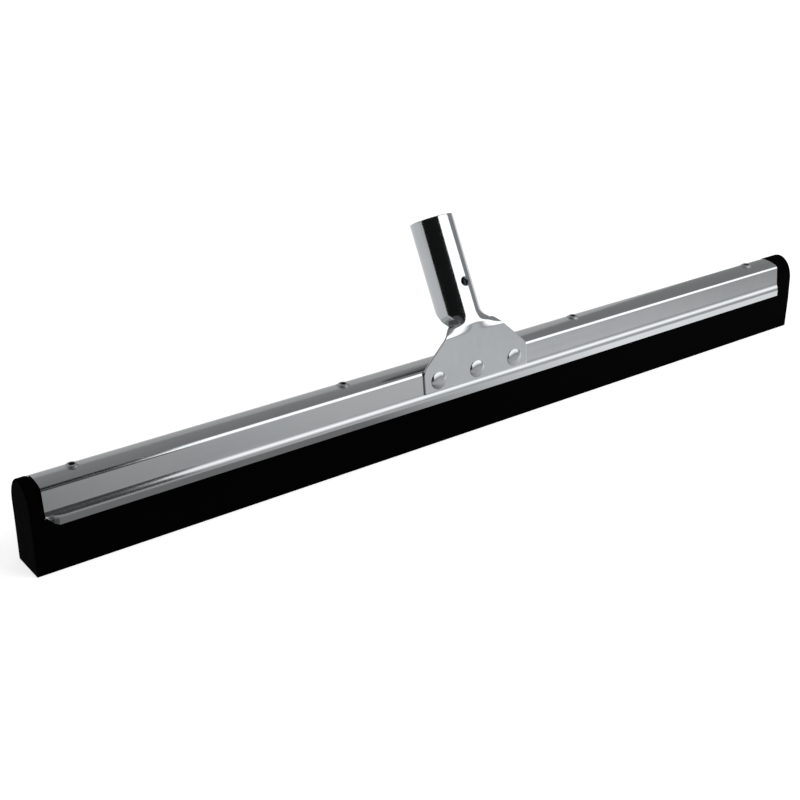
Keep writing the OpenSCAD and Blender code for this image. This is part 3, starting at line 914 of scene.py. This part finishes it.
def seen_factor(tree):
    """1 for what the camera sees, straight or in metal and glass, and 0 for light on dull surfaces."""
    path = add(tree, "ShaderNodeLightPath")
    mirror = add(tree, "ShaderNodeMath", {
        0: path.outputs["Is Camera Ray"], 1: path.outputs["Is Glossy Ray"]}, operation="ADD")
    return add(tree, "ShaderNodeMath", {
        0: mirror, 1: path.outputs["Is Transmission Ray"]}, operation="ADD", use_clamp=True)


def studio_card(name, rows, stops, axis="X"):
    """A card that only shows in reflections, from rows of points with as many points in each.

    stops lists (place along the axis in metres, brightness), at least two.
    """
    bm = bmesh.new()
    grid = [[bm.verts.new(point) for point in row] for row in rows]
    for a, b in zip(grid, grid[1:]):
        for j in range(len(a) - 1):
            bm.faces.new((a[j], a[j + 1], b[j + 1], b[j]))
    card = finished_object(name, bm)
    material, tree = new_material(name)
    start, run = stops[0][0], stops[-1][0] - stops[0][0]
    peak = max(brightness for _, brightness in stops)
    here = add(tree, "ShaderNodeTexCoord").outputs["Object"]
    place = add(tree, "ShaderNodeSeparateXYZ", {0: here})
    share = add(tree, "ShaderNodeMapRange", {
        "Value": place.outputs[axis], "From Min": start, "From Max": start + run}, clamp=True)
    ramp = add(tree, "ShaderNodeValToRGB", {"Fac": share})
    # A new mark moves those after it along, so the two ends are coloured first
    marks = ramp.color_ramp.elements
    for mark, (_, brightness) in zip(marks, (stops[0], stops[-1])):
        mark.color = (brightness / peak,) * 3 + (1,)
    for at, brightness in stops[1:-1]:
        marks.new((at - start) / run).color = (brightness / peak,) * 3 + (1,)
    end_material(tree, "ShaderNodeEmission", {"Color": ramp, "Strength": peak})
    card.data.materials.append(material)
    card.visible_camera = card.visible_diffuse = card.visible_shadow = False


def studio_world(s):
    """White all round for the camera and the metal, and a dimmer fill for dull surfaces."""
    world = bpy.data.worlds.new("studio")
    tree = emptied(world)
    strength = add(tree, "ShaderNodeMapRange", {"Value": seen_factor(tree), "To Min": s.fill, "To Max": 1.0})
    sky = add(tree, "ShaderNodeBackground", {"Color": (1, 1, 1, 1), "Strength": strength})
    add(tree, "ShaderNodeOutputWorld", {"Surface": sky})
    return world


def studio_floor(s):
    """Large pale floor, matt and lifted to white where it is seen."""
    reach = 6.0
    mesh = bpy.data.meshes.new("floor")
    corners = [(-reach, -reach, 0), (reach, -reach, 0), (reach, reach, 0), (-reach, reach, 0)]
    mesh.from_pydata(corners, [], [(0, 1, 2, 3)])
    floor = placed("floor", mesh)
    material, tree = new_material("pale_floor")
    lift = add(tree, "ShaderNodeMath", {0: seen_factor(tree), 1: s.floor_lift}, operation="MULTIPLY")
    end_material(tree, "ShaderNodeBsdfPrincipled", {
        "Base Color": (*s.floor, 1), "Roughness": 0.9, "Specular IOR Level": 0.0, "Emission Color": (1, 1, 1, 1),
        "Emission Strength": lift})
    mesh.materials.append(material)


def key_lamp(s):
    """Large soft lamp from the front right, which the metal doesn't mirror."""
    direction, distance = Vector((0.62, -0.62, 0.72)), 3
    lamp = bpy.data.lights.new("key", "AREA")
    lamp.shape = "RECTANGLE"
    lamp.size, lamp.size_y = 2.2, 1.8
    lamp.energy = s.key
    key = placed("key", lamp)
    key.location = direction.normalized() * distance
    key.rotation_euler = key.location.to_track_quat("Z", "Y").to_euler()
    key.visible_glossy = False


def studio_cards(s):
    """What the metal mirrors: a softbox ahead on the right, dark cards ahead on the left, and grey all round."""
    # The softbox's edge, as (x, z), stands close to the object and leans to the right higher up
    edge = ((-0.03, 0), (-0.04, 0.1), (-0.06, 0.18), (0, 0.33), (0.12, 0.67), (0.24, 1))
    y, split, top = -s.card_y, -0.2, 1.05
    left, right, far_right, behind = -0.75, 0.85, 1.5, 0.7
    dark, upper = s.black_card, [(0.45, s.black_card), (0.55, 0.14), (1, 0.14)]
    glow = ((0, 0.2), (0.04, 0.28), (0.17, 1), (0.5, 1), (0.7, 0.3), (1, 0.15))
    studio_card("softbox", [[(x, y, z), (right, y, z)] for x, z in edge], [
        (z, share * s.softbox) for z, share in glow], "Z")
    studio_card("black_card", [
        [(split, y, z), (-0.45, y, z), (left, -0.1, z), (left, 0.05, z)] for _, z in edge], [(0, dark)] + upper, "Z")
    studio_card("edge_card", [[(x, y, z), (split, y, z)] for x, z in edge], [
        (0, 0.1), (0.12, 0.1), (0.17, 0.2), (0.24, 0.15), (0.28, dark)] + upper, "Z")
    studio_card("roof_card", [[(x, row, top) for x in (left, right, far_right)] for row in (y, behind)], [
        (left, 0.12), (-0.15, 0.14), (0, 0.42), (far_right, 0.42)])
    studio_card("side_card", [[(right, y, z), (1.4, -0.2, z), (far_right, 0.2, z)] for z in (0, 1)], [
        (0, s.side_card), (1, s.side_card)])
    # Parts of a sphere round the object, from one bearing and height in degrees to another
    radius, columns, rows = 1.6, 24, 8
    for name, start, end, low, high, brightness in (
        ("right_card", 98, 130, 3, 82, 0.4), ("low_card", 130, 258, 3, 36, s.low_card),
        ("high_card", 130, 258, 36, 82, s.high_card),
    ):
        turns = [radians(start + (end - start) * j / columns) for j in range(columns + 1)]
        rises = [radians(low + (high - low) * i / rows) for i in range(rows + 1)]
        card = [
            [(radius * sin(a) * cos(e), -radius * cos(a) * cos(e), radius * sin(e)) for a in turns] for e in rises]
        studio_card(name, card, [(-1, brightness), (1, brightness)])
    # On the floor the light falls off to both sides, and close to the object it comes from the right
    floor_z, floor_left, floor_right, middle = 0.5 * MM, -0.34, 0.6, -0.1
    for name, near, away, stops in (
        ("near_floor", -0.02, middle, [
            (floor_left, 0.05), (-0.275, 0.06), (-0.25, 0.34), (-0.04, 0.34), (0.05, 1.1), (0.16, 1.85),
            (floor_right, 1.5)]),
        ("far_floor", middle, y, [
            (floor_left, 0.3), (-0.18, 0.65), (-0.02, 0.98), (0.13, 1.06), (0.28, 0.96), (0.42, 0.72),
            (floor_right, 0.4)]),
    ):
        studio_card(name, [[(x, row, floor_z) for x in (floor_left, floor_right)] for row in (near, away)], stops)


def photo_camera(s):
    """Camera that stands and looks as the photo's did."""
    camera = placed("camera", bpy.data.cameras.new("camera"))
    camera.data.lens = s.lens
    camera.data.sensor_width = 36
    camera.data.clip_start = 0.01
    heading = Matrix.Rotation(-s.heading, 4, "Z")
    turn = heading @ Matrix.Rotation(pi / 2 - s.drop, 4, "X") @ Matrix.Rotation(s.roll, 4, "Z")
    camera.matrix_world = Matrix.Translation(s.place) @ turn
    return camera


class SQUEEGEE_OT_stage(Operator):
    """Pale floor, soft light, cards for the metal to mirror, and the camera"""
    bl_idname = "squeegee.stage"
    bl_label = "Stage"

    def execute(self, context):
        s, scene = context.scene.squeegee.stage, context.scene
        scene.view_settings.view_transform = "Standard"
        scene.world = studio_world(s)
        studio_floor(s)
        key_lamp(s)
        studio_cards(s)
        scene.camera = photo_camera(s)
        return {"FINISHED"}


class SQUEEGEE_PT_panel(Panel):
    """Lists the part's pieces and their settings"""
    bl_idname = "SQUEEGEE_PT_panel"
    bl_label = "Floor squeegee"
    bl_space_type = "VIEW_3D"
    bl_region_type = "UI"
    bl_category = "Squeegee"

    def draw(self, context):
        settings = context.scene.squeegee
        for title, operators in (
            ("blade", ("foam_blade",)), ("frame", ("frame_channel",)), ("socket", ("handle_socket",)),
            ("rivets", ("ridge_rivets", "socket_rivets", "retaining_strip")), ("stage", ("stage",)),
        ):
            group = getattr(settings, title)
            box = self.layout.box()
            box.label(text=title.capitalize())
            for name in group.bl_rna.properties.keys():
                if name not in {"rna_type", "name"}:
                    box.prop(group, name)
            for operator in operators:
                box.operator("squeegee." + operator)


CLASSES = (
    BladeSettings, FrameSettings, SocketSettings, RivetSettings, StageSettings, SqueegeeSettings,
    SQUEEGEE_OT_foam_blade, SQUEEGEE_OT_frame_channel, SQUEEGEE_OT_retaining_strip, SQUEEGEE_OT_ridge_rivets,
    SQUEEGEE_OT_handle_socket, SQUEEGEE_OT_socket_rivets, SQUEEGEE_OT_stage, SQUEEGEE_PT_panel,
)


def register():
    for cls in CLASSES:
        bpy.utils.register_class(cls)
    bpy.types.Scene.squeegee = bpy.props.PointerProperty(type=SqueegeeSettings)


def unregister():
    del bpy.types.Scene.squeegee
    for cls in reversed(CLASSES):
        bpy.utils.unregister_class(cls)


def main():
    """Builds every piece and the stage."""
    register()
    bpy.ops.squeegee.stage()
    bpy.ops.squeegee.foam_blade()
    bpy.ops.squeegee.frame_channel()
    bpy.ops.squeegee.retaining_strip()
    bpy.ops.squeegee.ridge_rivets()
    bpy.ops.squeegee.handle_socket()
    bpy.ops.squeegee.socket_rivets()


if __name__ == "__main__":
    main()
